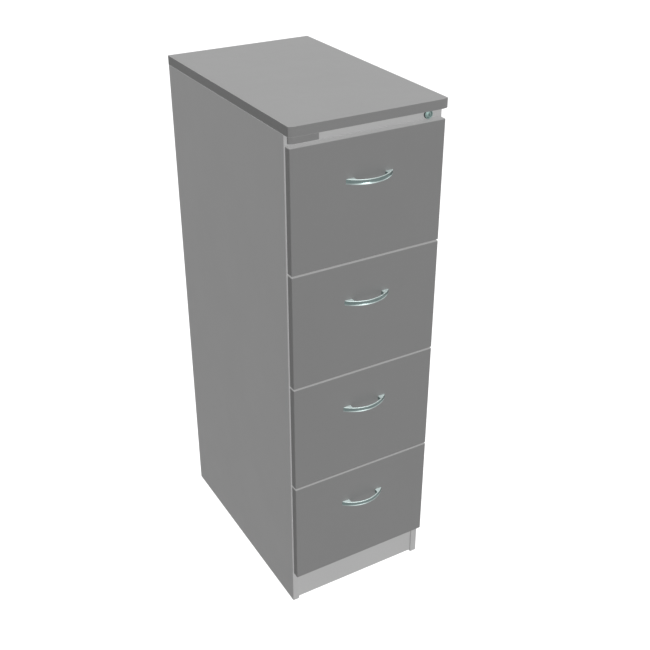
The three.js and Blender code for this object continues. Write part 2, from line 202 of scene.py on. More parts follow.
def math_node(tree, operation, a, b=None, c=None):
    """A Math node's output."""
    node = add(tree, "ShaderNodeMath", operation=operation)
    for socket, value in zip(node.inputs, (a, b, c)):
        if value is not None:
            feed(tree, value, socket)
    return node.outputs[0]


def noise(tree, scale, detail=2.0, roughness=0.5, stretch=None):
    """Noise in object space, from 0 to 1. stretch squeezes it along the three axes."""
    place = add(tree, "ShaderNodeTexCoord").outputs["Object"]
    if stretch:
        mapping = add(tree, "ShaderNodeMapping")
        mapping.inputs["Scale"].default_value = stretch
        tree.links.new(place, mapping.inputs["Vector"])
        place = mapping.outputs["Vector"]
    texture = add(tree, "ShaderNodeTexNoise")
    tree.links.new(place, texture.inputs["Vector"])
    texture.inputs["Scale"].default_value = scale
    texture.inputs["Detail"].default_value = detail
    texture.inputs["Roughness"].default_value = roughness
    return texture.outputs["Fac"]


def span(tree, value, low, high, to_low, to_high):
    """A value mapped from one range to another, held at its ends."""
    node = add(tree, "ShaderNodeMapRange", clamp=True)
    feed(tree, value, node.inputs["Value"])
    for key, number in zip(("From Min", "From Max", "To Min", "To Max"), (low, high, to_low, to_high)):
        feed(tree, number, node.inputs[key])
    return node.outputs["Result"]


def mix_colour(tree, share, first, second):
    """A colour between two others."""
    node = add(tree, "ShaderNodeMix", data_type="RGBA", clamp_factor=True)
    feed(tree, share, node.inputs["Factor"])
    for key, colour in (("A", first), ("B", second)):
        socket = [s for s in node.inputs if s.name == key and s.type == "RGBA"][0]
        feed(tree, colour, socket)
    return [s for s in node.outputs if s.type == "RGBA"][0]


def bump(tree, height, strength, distance, below=None):
    """A Bump node's normal, on top of another one."""
    node = add(tree, "ShaderNodeBump")
    node.inputs["Strength"].default_value = strength
    node.inputs["Distance"].default_value = distance
    tree.links.new(height, node.inputs["Height"])
    if below:
        tree.links.new(below, node.inputs["Normal"])
    return node.outputs["Normal"]


def parts_of(tree, kind, output):
    """The x, y and z of a vector that a node gives."""
    split = add(tree, "ShaderNodeSeparateXYZ")
    tree.links.new(add(tree, kind).outputs[output], split.inputs[0])
    return split.outputs


def edge_distance(tree, low, high):
    """How far a point on a box's surface lies from the nearest edge of that box, in metres."""
    place = parts_of(tree, "ShaderNodeTexCoord", "Object")
    sides = []
    for axis in (X, Y, Z):
        from_low = math_node(tree, "SUBTRACT", place[axis], low[axis])
        from_high = math_node(tree, "SUBTRACT", high[axis], place[axis])
        sides.append(math_node(tree, "MINIMUM", from_low, from_high))
    nearer = math_node(tree, "MINIMUM", sides[0], sides[1])
    farther = math_node(tree, "MAXIMUM", sides[0], sides[1])
    return math_node(tree, "MAXIMUM", nearer, math_node(tree, "MINIMUM", farther, sides[2]))


def scaled(colour, factor):
    """A colour made lighter or darker."""
    return (*[min(1.0, part * factor) for part in colour], 1.0)


# ---------------------------------------------------------------- materials

LIGHT_GREY = (0.540, 0.540, 0.540)
MID_GREY = (0.260, 0.260, 0.260)
TRAY_GREY = (0.410, 0.410, 0.410)
ORANGE_PEEL = 1100.0  # ripples per metre in powder coat
TONE_SCALE = 5.0
WEAR_WIDTH = 0.0016
CHROME_FACE = (0.31, 0.42, 0.40)
# painted shade for chrome walls that turn from the front
CHROME_PAINTED_SHADE = (0.10, 0.12, 0.12)
BOW_FACE = [(0.36, 0.47, 0.46, 1.0), (0.42, 0.54, 0.53, 1.0)]
# lighter colour of the handle's rims: a painted highlight
BOW_RIM_HIGHLIGHT = (0.56, 0.64, 0.63, 1.0)
ZINC_TONES = [(0.57, 0.59, 0.61, 1.0), (0.63, 0.64, 0.65, 1.0)]
GREASE = (0.42, 0.41, 0.37, 1.0)
NYLON_TONES = [(0.022, 0.022, 0.024, 1.0), (0.075, 0.075, 0.078, 1.0)]
BALL_TONES = [(0.72, 0.72, 0.72, 1.0), (0.58, 0.56, 0.50, 1.0)]


def powder_coat(name, colour, low, high):
    """Satin powder coat on a folded panel: orange peel, faint clouding, and rubbed edges."""
    material, tree, shader = nodes_of(name)
    clouds = span(tree, noise(tree, TONE_SCALE, 3.0), 0.3, 0.7, 0.0, 1.0)
    base = mix_colour(tree, clouds, scaled(colour, 0.985), scaled(colour, 1.015))
    speckle = span(tree, noise(tree, 2600.0, 1.0), 0.35, 0.65, 0.0, 1.0)
    flecked = mix_colour(tree, math_node(tree, "MULTIPLY", speckle, 0.5), base, scaled(colour, 1.04))
    edge = span(tree, edge_distance(tree, low, high), 0.0, WEAR_WIDTH, 1.0, 0.0)
    patches = span(tree, noise(tree, 160.0, 4.0, 0.6), 0.42, 0.62, 0.15, 1.0)
    worn = math_node(tree, "MULTIPLY", edge, patches)
    rubbed = mix_colour(tree, math_node(tree, "MULTIPLY", worn, 0.55), flecked, scaled(colour, 1.22))
    tree.links.new(rubbed, shader.inputs["Base Color"])
    gloss = span(tree, noise(tree, 14.0, 3.0), 0.3, 0.7, 0.46, 0.54)
    tree.links.new(math_node(tree, "MULTIPLY_ADD", worn, -0.12, gloss), shader.inputs["Roughness"])
    peel = bump(tree, noise(tree, ORANGE_PEEL, 2.0, 0.45), 0.16, 0.00006)
    tree.links.new(bump(tree, noise(tree, 9.0, 1.0), 0.05, 0.0004, peel), shader.inputs["Normal"])
    shader.inputs["Specular IOR Level"].default_value = 0.35
    return material


def polish(tree, shader, roughness, spread, dulled=None):
    """Bare metal with wipe marks and fine scratches. dulled is a roughness to add, from 0 up."""
    shader.inputs["Metallic"].default_value = 1.0
    wipes = noise(tree, 120.0, 4.0, 0.6, (1.0, 1.0, 4.0))
    rough = span(tree, wipes, 0.3, 0.7, roughness, roughness + spread)
    if dulled:
        rough = math_node(tree, "ADD", dulled, rough)
    tree.links.new(rough, shader.inputs["Roughness"])
    scratches = noise(tree, 900.0, 2.0, 0.5, (0.08, 1.0, 1.0))
    tree.links.new(bump(tree, scratches, 0.03, 0.00001), shader.inputs["Normal"])


def satin_chrome():
    """Chrome with a cool tint, with painted shade: darker on walls that are turned from the front."""
    material, tree, shader = nodes_of("satin_chrome")
    forwards = parts_of(tree, "ShaderNodeNewGeometry", "Normal")[Y]
    # painted shade: walls that turn from the front are coloured darker
    painted_shade_share = span(tree, forwards, -0.75, -0.35, 0.0, 1.0)
    haze = span(tree, noise(tree, 60.0, 3.0), 0.35, 0.65, 0.0, 1.0)
    face = mix_colour(tree, haze, scaled(CHROME_FACE, 1.0), scaled(CHROME_FACE, 1.15))
    tint_with_painted_light = mix_colour(tree, painted_shade_share, face, scaled(CHROME_PAINTED_SHADE, 1.0))
    tree.links.new(tint_with_painted_light, shader.inputs["Base Color"])
    polish(tree, shader, 0.52, 0.06)
    return material


def bow_chrome(name, low, high):
    """Cool chrome on a strap: its face is polished, and its rims are linished rougher and painted lighter,
    a painted highlight.
    """
    material, tree, shader = nodes_of(name)
    height = parts_of(tree, "ShaderNodeTexCoord", "Object")[Z]
    below = math_node(tree, "SUBTRACT", high.z, height)
    above = math_node(tree, "SUBTRACT", height, low.z)
    # the rims' mask: a rougher finish, and a painted highlight in their lighter colour
    upper = span(tree, below, UPPER_RIM, 1.6 * UPPER_RIM, 1.0, 0.0)
    lower = span(tree, above, LOWER_RIM, 1.3 * LOWER_RIM, 1.0, 0.0)
    highlight_and_satin_rim = math_node(tree, "MAXIMUM", upper, lower)
    haze = span(tree, noise(tree, 60.0, 3.0), 0.35, 0.65, 0.0, 1.0)
    tint_with_painted_light = mix_colour(tree, highlight_and_satin_rim, mix_colour(tree, haze, *BOW_FACE), BOW_RIM_HIGHLIGHT)
    tree.links.new(tint_with_painted_light, shader.inputs["Base Color"])
    polish(tree, shader, 0.22, 0.04, math_node(tree, "MULTIPLY", highlight_and_satin_rim, 0.29))
    return material


def zinc_plate():
    """Bright zinc on rolled steel: a soft mottle, draw lines along its length, smears of grease."""
    material, tree, shader = nodes_of("zinc_plate")
    mottle = span(tree, noise(tree, 130.0, 4.0, 0.65), 0.35, 0.65, 0.0, 1.0)
    base = mix_colour(tree, mottle, *ZINC_TONES)
    smears = span(tree, noise(tree, 22.0, 3.0, 0.55, (1.0, 0.3, 1.0)), 0.55, 0.75, 0.0, 0.5)
    tree.links.new(mix_colour(tree, smears, base, GREASE), shader.inputs["Base Color"])
    shader.inputs["Metallic"].default_value = 1.0
    tree.links.new(span(tree, mottle, 0.0, 1.0, 0.30, 0.42), shader.inputs["Roughness"])
    lines = noise(tree, 700.0, 2.0, 0.5, (1.0, 0.02, 1.0))
    tree.links.new(bump(tree, lines, 0.05, 0.00002), shader.inputs["Normal"])
    return material


def badge_metal():
    """A satin grey plate, brushed along its length."""
    material, tree, shader = nodes_of("badge_metal")
    brushing = noise(tree, 800.0, 3.0, 0.6, (0.03, 1.0, 1.0))
    tone = span(tree, brushing, 0.3, 0.7, 0.0, 1.0)
    base = mix_colour(tree, tone, scaled(MID_GREY, 0.94), scaled(MID_GREY, 1.04))
    tree.links.new(base, shader.inputs["Base Color"])
    tree.links.new(span(tree, tone, 0.0, 1.0, 0.38, 0.48), shader.inputs["Roughness"])
    tree.links.new(bump(tree, brushing, 0.1, 0.00003), shader.inputs["Normal"])
    return material


def moulded_nylon():
    """Black moulded nylon with a fine spark-eroded grain and scuffs."""
    material, tree, shader = nodes_of("moulded_nylon")
    scuffs = span(tree, noise(tree, 90.0, 4.0, 0.65), 0.52, 0.72, 0.0, 0.7)
    base = mix_colour(tree, scuffs, *NYLON_TONES)
    tree.links.new(base, shader.inputs["Base Color"])
    tree.links.new(span(tree, scuffs, 0.0, 0.7, 0.48, 0.66), shader.inputs["Roughness"])
    tree.links.new(bump(tree, noise(tree, 1500.0, 2.0), 0.25, 0.00006), shader.inputs["Normal"])
    return material


def steel_ball():
    """Hardened bright steel with a film of oil."""
    material, tree, shader = nodes_of("steel_ball")
    film = span(tree, noise(tree, 400.0, 2.0), 0.3, 0.7, 0.0, 1.0)
    base = mix_colour(tree, film, *BALL_TONES)
    tree.links.new(base, shader.inputs["Base Color"])
    shader.inputs["Metallic"].default_value = 1.0
    tree.links.new(span(tree, film, 0.0, 1.0, 0.08, 0.2), shader.inputs["Roughness"])
    return material


SATIN = satin_chrome()
ZINC = zinc_plate()
BADGE = badge_metal()
NYLON = moulded_nylon()
BALL = steel_ball()

# ---------------------------------------------------------------- mesh helpers


def object_from(name, bm, material):
    """An object in the scene from a bmesh."""
    mesh = bpy.data.meshes.new(name)
    bm.to_mesh(mesh)
    bm.free()
    made = bpy.data.objects.new(name, mesh)
    bpy.context.scene.collection.objects.link(made)
    if material:
        mesh.materials.append(material)
    return made


def settle(piece):
    """Applies the modifiers, then smooths the surface up to the sharp angle with weighted normals."""
    bpy.context.view_layer.update()
    evaluated = piece.evaluated_get(bpy.context.evaluated_depsgraph_get())
    mesh = bpy.data.meshes.new_from_object(evaluated)
    piece.modifiers.clear()
    piece.data = mesh
    mesh.shade_smooth()
    mesh.set_sharp_from_angle(angle=SHARP_ANGLE)
    weighted = piece.modifiers.new("weighted", "WEIGHTED_NORMAL")
    weighted.keep_sharp = True
    return piece


def attach(piece, body, slot, *stands_for):
    """Makes a piece ride on a body, and hides the CAD nodes that it stands for. slot is not used."""
    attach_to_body(piece, body)
    if stands_for:
        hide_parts(*stands_for)


def thicken(piece, thickness):
    """Gives a surface the sheet's thickness, on the side away from its normals."""
    solid = piece.modifiers.new("sheet", "SOLIDIFY")
    solid.thickness = thickness
    solid.offset = -1.0
    solid.use_even_offset = True
    return piece


def bevel(bm, edges, width, steps, **settings):
    """Rounds edges of a bmesh."""
    bmesh.ops.bevel(bm, geom=edges, offset=width, segments=steps, profile=0.5, affect="EDGES", **settings)


def round_folds(bm, radius, keep=lambda edge: True):
    """Rounds the edges where two faces meet at an angle."""
    bm.normal_update()
    folds = [e for e in bm.edges if len(e.link_faces) == 2 and e.calc_face_angle(0.0) > FLAT_ANGLE]
    bevel(bm, [e for e in folds if keep(e)], radius, FOLD_STEPS, clamp_overlap=True)


def box_surface(low, high):
    """A bmesh box between two corners."""
    bm = bmesh.new()
    bmesh.ops.create_cube(bm, size=1.0)
    for vertex in bm.verts:
        vertex.co = [low[a] if vertex.co[a] < 0 else high[a] for a in (X, Y, Z)]
    bm.normal_update()
    return bm


def face_towards(bm, axis, side):
    """The face of a box that looks along an axis."""
    return max(bm.faces, key=lambda face: face.normal[axis] * side)


def folded_pan(name, low, high, axis, side, material, fold=FOLD, seam=math.inf):
    """A shallow box of folded sheet, open on one side. Edges above the seam's height stay crisp."""
    bm = box_surface(low, high)
    bmesh.ops.delete(bm, geom=[face_towards(bm, axis, side)], context="FACES_ONLY")
    round_folds(bm, fold, keep=lambda edge: min(v.co.z for v in edge.verts) < seam)
    return settle(thicken(object_from(name, bm, material), SHEET))


def folded_strip(name, section, axis, start, end, material, fold, wall):
    """Sheet bent along a line of points, and run from start to end along an axis.

    The points are the outer surface, and the sheet's thickness lies towards their middle.
    """
    bm = bmesh.new()
    rows = []
    for place in (start, end):
        row = []
        for first, second in section:
            spot = [first, second]
            spot.insert(axis, place)
            row.append(bm.verts.new(spot))
        rows.append(row)
    for index in range(len(section) - 1):
        bm.faces.new((rows[0][index], rows[0][index + 1], rows[1][index + 1], rows[1][index]))
    bm.normal_update()
    middle = sum((v.co for v in bm.verts), Vector()) / len(bm.verts)
    outward = sum(f.calc_area() * f.normal.dot(f.calc_center_median() - middle) for f in bm.faces)
    if outward < 0:
        bmesh.ops.reverse_faces(bm, faces=bm.faces)
    round_folds(bm, fold)
    return settle(thicken(object_from(name, bm, material), wall))


def turned(name, profile, centre, direction, material, steps=TURN_STEPS):
    """A profile of (radius, distance) points spun round an axis through a centre."""
    bm = bmesh.new()
    rings = []
    for radius, along in profile:
        if radius == 0:
            rings.append([bm.verts.new((0, 0, along))])
            continue
        turn = [math.tau * step / steps for step in range(steps)]
        rings.append([bm.verts.new((radius * math.cos(a), radius * math.sin(a), along)) for a in turn])
    for low, high in zip(rings, rings[1:]):
        for step in range(steps):
            after = (step + 1) % steps
            if len(low) == 1:
                bm.faces.new((low[0], high[after], high[step]))
            elif len(high) == 1:
                bm.faces.new((low[step], low[after], high[0]))
            else:
                bm.faces.new((low[step], low[after], high[after], high[step]))
    bmesh.ops.recalc_face_normals(bm, faces=bm.faces)
    turn = Vector(direction).to_track_quat("Z", "Y").to_matrix().to_4x4()
    bmesh.ops.transform(bm, matrix=Matrix.Translation(centre) @ turn, verts=bm.verts)
    return settle(object_from(name, bm, material))


def solid_block(name, low, high, material, broken=BLOCK_BREAK):
    """A solid bar or plate with its edges broken."""
    bm = box_surface(low, high)
    bevel(bm, bm.edges, broken, 2)
    return settle(object_from(name, bm, material))


def join(first, *others):
    """Joins settled pieces into the first one, their slots kept."""
    with bpy.context.temp_override(
        active_object=first, selected_editable_objects=[first, *others], object=first
    ):
        bpy.ops.object.join()
    return first


def cut(piece, *cutters):
    """Cuts pieces out of another one."""
    for cutter in cutters:
        boolean = piece.modifiers.new("cut", "BOOLEAN")
        boolean.operation = "DIFFERENCE"
        boolean.solver = "EXACT"
        boolean.object = cutter
    settle(piece)
    for cutter in cutters:
        bpy.data.objects.remove(cutter)
    return piece


def dress(node, material, width=FINISH_BREAK):
    """A carried-over CAD node gets its finish, and a fine break on its edges."""
    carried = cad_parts[node]
    carried.data.materials.clear()
    carried.data.materials.append(material)
    weld = carried.modifiers.new("weld", "WELD")
    weld.merge_threshold = WELD_DISTANCE
    breaks = carried.modifiers.new("breaks", "BEVEL")
    breaks.width = width
    breaks.segments = 2
    breaks.limit_method = "ANGLE"
    breaks.angle_limit = BREAK_ANGLE


# ---------------------------------------------------------------- pressings


def score(bm, axis, places):
    """Cuts every face across an axis at each place, without changing the shape."""
    normal = [0, 0, 0]
    normal[axis] = 1
    for place in places:
        spot = [0, 0, 0]
        spot[axis] = place
        everything = [*bm.verts, *bm.edges, *bm.faces]
        bmesh.ops.bisect_plane(bm, geom=everything, plane_co=spot, plane_no=normal)


def pressed_panel(name, low, high, axis, side, material, along, count, margin, depth):
    """A pan open on one side, whose main face has shallow fields pressed into it along an axis."""
    across = 3 - axis - along
    pitch = (high[along] - low[along] - margin) / count
    starts = [low[along] + margin + index * pitch for index in range(count)]
    ends = [start + pitch - margin for start in starts]
    bm = box_surface(low, high)
    bmesh.ops.delete(bm, geom=[face_towards(bm, axis, side)], context="FACES_ONLY")
    score(bm, along, sorted(starts + ends))
    score(bm, across, [low[across] + margin, high[across] - margin])
    bm.normal_update()
    centre = (low[across] + high[across]) / 2
    fields = []
    for face in bm.faces:
        middle = face.calc_center_median()
        inside = any(start < middle[along] < end for start, end in zip(starts, ends))
        if face.normal[axis] * side < -0.9 and inside and abs(middle[across] - centre) < margin:
            fields.append(face)
    bmesh.ops.inset_individual(bm, faces=fields, thickness=PRESS_SLOPE, depth=-depth)
    round_folds(bm, FOLD, keep=lambda edge: edge.calc_face_angle(0.0) > SQUARE_ANGLE)
    bm.normal_update()
    return settle(thicken(object_from(name, bm, material), SHEET))


# ---------------------------------------------------------------- carcass


def paint_for(node, colour):
    """Powder coat fitted to a CAD node's box."""
    return powder_coat("paint_" + node, colour, *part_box(node))


def build_sides():
    """Two outer skins, open towards the inside, and the liners that close them."""
    for side in SIDES:
        node = f"side_panel_{side}"
        low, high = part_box(node)
        mouth = 1 if side == "left" else -1
        under_top = high + Vector((0.0, 0.0, 2 * FOLD))
        paint = powder_coat("paint_" + node, LIGHT_GREY, low, under_top)
        skin = folded_pan(node + "_skin", low, high, X, mouth, paint, seam=high.z - SHEET)
        attach(skin, "root", "carcass_paint", node)
        dress(f"side_liner_{side}", paint_for(f"side_liner_{side}", LIGHT_GREY))


def top_outline(inset):
    """Plan points of the top from its left rear corner round the front to its right rear corner."""
    low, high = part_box("top_panel")
    radius = TOP_CORNER - inset
    turn = math.asin((TOP_RUN - inset) / radius)
    middle = low.y + TOP_CORNER
    turns = [turn * step / CORNER_STEPS for step in range(CORNER_STEPS + 1)]
    right = []
    for angle in turns:
        right.append((high.x - TOP_RUN + radius * math.sin(angle), middle - radius * math.cos(angle)))
    left = [(-x, y) for x, y in reversed(right)]
    return [(low.x + inset, high.y - inset), *left, *right, (high.x - inset, high.y - inset)]


def build_top():
    """A deep pan whose front corners are eased, with a crisp upright edge where they meet the sides."""
    low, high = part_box("top_panel")
    outline = top_outline(0.0)
    bm = bmesh.new()
    lower = [bm.verts.new((x, y, low.z)) for x, y in outline]
    upper = [bm.verts.new((x, y, high.z)) for x, y in outline]
    bm.faces.new(upper)
    for index in range(len(outline)):
        after = (index + 1) % len(outline)
        bm.faces.new((lower[index], lower[after], upper[after], upper[index]))
    middle = (low.z + high.z) / 2
    bm.normal_update()
    corners = [e for e in bm.edges if len(e.link_faces) == 2 and e.calc_face_angle(0.0) > SQUARE_ANGLE]
    corners = [e for e in corners if min(v.co.z for v in e.verts) < middle]
    bevel(bm, corners, SHEET, EDGE_STEPS)
    round_folds(bm, TOP_FOLD, keep=lambda edge: all(v.co.z > middle for v in edge.verts))
    skin = object_from("top_skin", bm, paint_for("top_panel", MID_GREY))
    attach(settle(thicken(skin, SHEET)), "root", "front_paint", "top_panel")
    dress("top_liner", paint_for("top_liner", MID_GREY))


def build_back():
    """A pan with three shallow fields pressed into it."""
    low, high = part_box("back_panel")
    paint = paint_for("back_panel", LIGHT_GREY)
    skin = pressed_panel("back_skin", low, high, Y, -1, paint, Z, BACK_FIELDS, BACK_MARGIN, PRESS_DEPTH)
    attach(skin, "root", "carcass_paint", "back_panel")


def build_rails():
    """Folded channels across the front, and the plain panels that stay as the CAD has them."""
    for node in ["plinth_panel", "divider_rail_1", "divider_rail_2", "divider_rail_3"]:
        low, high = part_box(node)
        section = [(high.y, low.z), (low.y, low.z), (low.y, high.z), (high.y, high.z)]
        paint = paint_for(node, LIGHT_GREY)
        rail = folded_strip(node + "_skin", section, X, low.x, high.x, paint, FOLD, SHEET)
        attach(rail, "root", "carcass_paint", node)
    dress("front_rail", paint_for("front_rail", LIGHT_GREY))
    dress("base_panel", paint_for("base_panel", LIGHT_GREY))


def build_nameplate():
    """A blank plate that follows the top's front edge, folded round at its left end and on its leg."""
    low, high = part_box("nameplate")
    end = low.y + PLATE_END
    outer = [spot for spot in top_outline(0.0) if spot[X] < 0 and spot[Y] < end]
    inner = [spot for spot in top_outline(PLATE_THICKNESS) if spot[X] < 0 and spot[Y] < end]
    outer = [(low.x, end), *outer, (high.x, low.y)]
    inner = [(low.x + PLATE_THICKNESS, end), *inner, (high.x, low.y + PLATE_THICKNESS)]
    outline = outer + inner[::-1]
    bm = bmesh.new()
    rows = [[bm.verts.new((x, y, z)) for x, y in outline] for z in (low.z, high.z)]
    ends = len(outer)
    for row, order in ((rows[0], -1), (rows[1], 1)):
        for index in range(ends - 1):
            across = len(outline) - 1 - index
            corners = [row[index], row[index + 1], row[across - 1], row[across]]
            bm.faces.new(corners[::order])
    for index in range(len(outline)):
        after = (index + 1) % len(outline)
        bm.faces.new((rows[0][index], rows[0][after], rows[1][after], rows[1][index]))
    bmesh.ops.recalc_face_normals(bm, faces=bm.faces)
    bm.normal_update()
    breaks = [e for e in bm.edges if e.calc_face_angle(0.0) > SQUARE_ANGLE]
    breaks = [e for e in breaks if min(v.co.z for v in e.verts) < high.z - SHEET]
    bevel(bm, breaks, PLATE_BREAK, EDGE_STEPS)
    plate = settle(object_from("nameplate_blank", bm, BADGE))
    leg_low = (low.x + PLATE_THICKNESS, low.y + PLATE_THICKNESS, high.z - SHEET)
    leg = solid_block("nameplate_leg", leg_low, high, BADGE, LEG_BREAK)
    attach(join(plate, leg), "root", "badge_metal", "nameplate")


def build_feet():
    """Moulded pads, each on a threaded stud that enters a collar under the base."""
    for node in ["foot_front_left", "foot_front_right", "foot_rear_left", "foot_rear_right"]:
        low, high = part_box(node)
        radius = (high.x - low.x) / 2
        height = high.z - low.z
        centre = ((low.x + high.x) / 2, (low.y + high.y) / 2, low.z)
        pad = [(0, 0), (radius - PAD_EDGE, 0), (radius, PAD_EDGE)]
        pad += [(radius, PAD_HEIGHT - PAD_EDGE), (radius - PAD_EDGE, PAD_HEIGHT)]
        pad += [(BOSS_FOOT, PAD_HEIGHT + PAD_CROWN), (BOSS_RADIUS, BOSS_HEIGHT), (0, BOSS_HEIGHT)]
        moulding = turned(node + "_pad", pad, centre, (0, 0, 1), NYLON)
        attach(moulding, "root", "foot_plastic", node)
        collar = height - FOOT_COLLAR
        thread = [(0, STUD_START)]
        for turn in range(int((collar - BOSS_HEIGHT) / THREAD_PITCH)):
            start = BOSS_HEIGHT + turn * THREAD_PITCH
            thread += [(STUD_RADIUS, start), (STUD_RADIUS - THREAD_DEPTH, start + THREAD_PITCH / 2)]
        thread += [(STUD_RADIUS, collar), (COLLAR_RADIUS - COLLAR_EDGE, collar)]
        thread += [(COLLAR_RADIUS, collar + COLLAR_EDGE), (COLLAR_RADIUS, height), (0, height)]
        stud = turned(node + "_stud", thread, centre, (0, 0, 1), ZINC, STUD_STEPS)
        attach(stud, "root", "zinc_plate")


# ---------------------------------------------------------------- lock


def build_lock():
    """A chromed rosette round the barrel, whose domed face carries the keyway."""
    low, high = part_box("lock_barrel")
    centre = Vector(((low.x + high.x) / 2, low.y, (low.z + high.z) / 2))
    radius = (high.x - low.x) / 2
    length = high.y - low.y
    h_low, h_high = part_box("lock_housing")
    depth = h_high.y - h_low.y
    flange = (h_high.x - h_low.x) / 2
    bore = radius + CLEARANCE
    profile = [  # radius, and how far behind the front
        (bore, 0.0010),
        (bore + 0.0003, 0.0003),
        (bore + 0.0008, 0.0),
        (flange - 0.0012, 0.0),
        (flange - 0.0004, 0.0004),
        (flange, 0.0013),
        (flange, LOCK_FLANGE),
        (LOCK_BODY, LOCK_FLANGE),
        (LOCK_BODY, depth),
        (bore, depth),
        (bore, 0.0010),
    ]
    rosette = turned("lock_rosette", profile, centre, (0, 1, 0), SATIN)
    attach(rosette, "root", "chrome", "lock_housing")
    dome = []
    for step in range(DOME_STEPS + 1):
        share = step / DOME_STEPS
        dome.append(((radius - 0.0002) * share, DOME_RISE * share * share))
    dome += [(radius, DOME_RISE + BARREL_EDGE), (radius, length - BARREL_EDGE)]
    dome += [(radius - BARREL_EDGE, length), (0, length)]
    plug = turned("lock_plug", dome, centre, (0, 1, 0), SATIN)
    half = Vector(KEYWAY) / 2
    blade = object_from("blade", box_surface(centre - half, centre + half), None)
    ward_box = box_surface(centre + Vector(WARD_LOW), centre + Vector(WARD_HIGH))
    ward = object_from("ward", ward_box, None)
    attach(cut(plug, blade, ward), "lock_barrel", "chrome", "lock_barrel")
    for node in ["lock_nut", "lock_cam", "lock_bar"]:
        dress(node, ZINC, LOCK_BREAK)


# ---------------------------------------------------------------- slides


def build_slide(drawer, side):
    """The three rolled members of one slide, with the ball rows that run between them."""
    out = -1 if side == "left" else 1
    members = {
        "cabinet": ("root", 1),
        "middle": (f"{drawer}_middle", 1),
        "drawer": (drawer, -1),
    }
    boxes = {}
    for member, (body, web) in members.items():
        node = f"{drawer}_{member}_slide_{side}"
        low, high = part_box(node)
        boxes[member] = (low, high)
        back, tip = (high.x, low.x) if out * web > 0 else (low.x, high.x)
        section = [(tip, low.z), (back, low.z), (back, high.z), (tip, high.z)]
        strip = folded_strip(node + "_rolled", section, Y, low.y, high.y, ZINC, SLIDE_FOLD, SLIDE_WALL)
        attach(strip, body, "zinc_plate", node)
    build_balls(drawer, side, boxes)


def build_balls(drawer, side, boxes):
    """Two outer and two inner rows of balls, each in a thin retainer, carried by the middle member."""
    outer, middle, inner = boxes["cabinet"], boxes["middle"], boxes["drawer"]
    back, front = middle[1].y, middle[0].y
    half = (front + back) / 2
    rows = [
        (outer, middle, half + BALL_END, back - BALL_END),
        (middle, inner, front + BALL_END, half - BALL_END),
    ]
    balls, cages = bmesh.new(), []
    for around, within, start, end in rows:
        x = sum(b[i].x for b in (around, within) for i in (0, 1)) / 4
        count = int((end - start) / BALL_PITCH)
        for sign in (1, -1):
            above = within[1].z if sign > 0 else within[0].z
            z = above + sign * BALL_RADIUS
            size = BALL_RADIUS * BALL_FIT
            for index in range(count + 1):
                spot = Matrix.Translation((x, start + index * BALL_PITCH, z))
                bmesh.ops.create_icosphere(balls, subdivisions=2, radius=size, matrix=spot)
            low = Vector((x, start, z)) - Vector(RETAINER_HALF)
            high = Vector((x, start + count * BALL_PITCH, z)) + Vector(RETAINER_HALF)
            cages.append(solid_block(f"{drawer}_retainers_{side}", low, high, ZINC, RETAINER_BREAK))
    body = f"{drawer}_middle"
    attach(settle(object_from(f"{drawer}_balls_{side}", balls, BALL)), body, "zinc_plate")
    attach(join(*cages), body, "zinc_plate")


# ---------------------------------------------------------------- drawers


def build_front(drawer):
    """The outer skin of a drawer front, open at the back."""
    node = f"{drawer}_front"
    low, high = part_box(node)
    skin = folded_pan(node + "_skin", low, high, Y, 1, paint_for(node, MID_GREY), FRONT_FOLD)
    attach(skin, drawer, "front_paint", node)


def build_tray(drawer, low_edge):
    """The welded drawer body: folded sides and bottom, flanged back, inner skin and lock catch."""
    node = f"{drawer}_tray"
    low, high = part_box(node)
    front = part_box(f"{drawer}_front")[1].y
    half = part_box(f"{drawer}_drawer_slide_right")[0].x - CLEARANCE
    bottom = low_edge + TRAY_BOTTOM
    top = bottom + TRAY_HEIGHT
    paint = paint_for(node, TRAY_GREY)
    hem = half - HEM_WIDTH
    right = [(half, bottom), (half, top), (hem, top), (hem, top - HEM_DEPTH)]
    section = [(-x, z) for x, z in reversed(right)] + right
    wrap = folded_strip(node + "_body", section, Y, front - SHEET, high.y - SHEET, paint, FOLD, SHEET)
    skin = folded_pan(node + "_inner_front", low, (high.x, front, high.z), Y, -1, paint)
    rear_low = (SHEET - half, high.y - REAR_FLANGE, bottom + SHEET)
    rear_high = (half - SHEET, high.y, top)
    rear = pressed_panel(
        node + "_rear", rear_low, rear_high, Y, -1, paint, X, 1, REAR_MARGIN, PRESS_DEPTH
    )
    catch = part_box("side_panel_right")[0].y + CATCH_BEHIND_FRONT
    catch_low = bottom + CATCH_RISE
    catch_high = catch_low + CATCH_HEIGHT
    finger_low = (half - SHEET, catch, catch_low)
    finger_high = (half + CATCH_REACH, catch + CATCH_THICKNESS, catch_high)
    base_high = (half + CATCH_PLATE, catch + CATCH_BASE, catch_high)
    finger = solid_block(node + "_finger", finger_low, finger_high, paint)
    base = solid_block(node + "_catch_base", finger_low, base_high, paint)
    attach(join(wrap, skin, rear, finger, base), drawer, "carcass_paint", node)


def strap_points(half, depth, strap, foot):
    """The plan outline of a bow handle from one foot's heel, over the arch, to the other's, and back.

    y = 0 is the face that it stands on, and y runs out from it.
    """
    radius = (half * half + depth * depth) / (2 * depth)
    centre = depth - radius
    inner = radius - strap
    outer_end = math.asin(half / radius)
    inner_half = math.asin((half - foot) / inner)
    points = []
    for step in range(BOW_STEPS + 1):
        angle = outer_end * (1 - 2 * step / BOW_STEPS)
        points.append((-radius * math.sin(angle), centre + radius * math.cos(angle)))
    points.append((half - foot, 0.0))
    for step in range(BOW_STEPS + 1):
        angle = inner_half * (1 - 2 * step / BOW_STEPS)
        points.append((inner * math.sin(angle), centre + inner * math.cos(angle)))
    points.append((foot - half, 0.0))
    return points


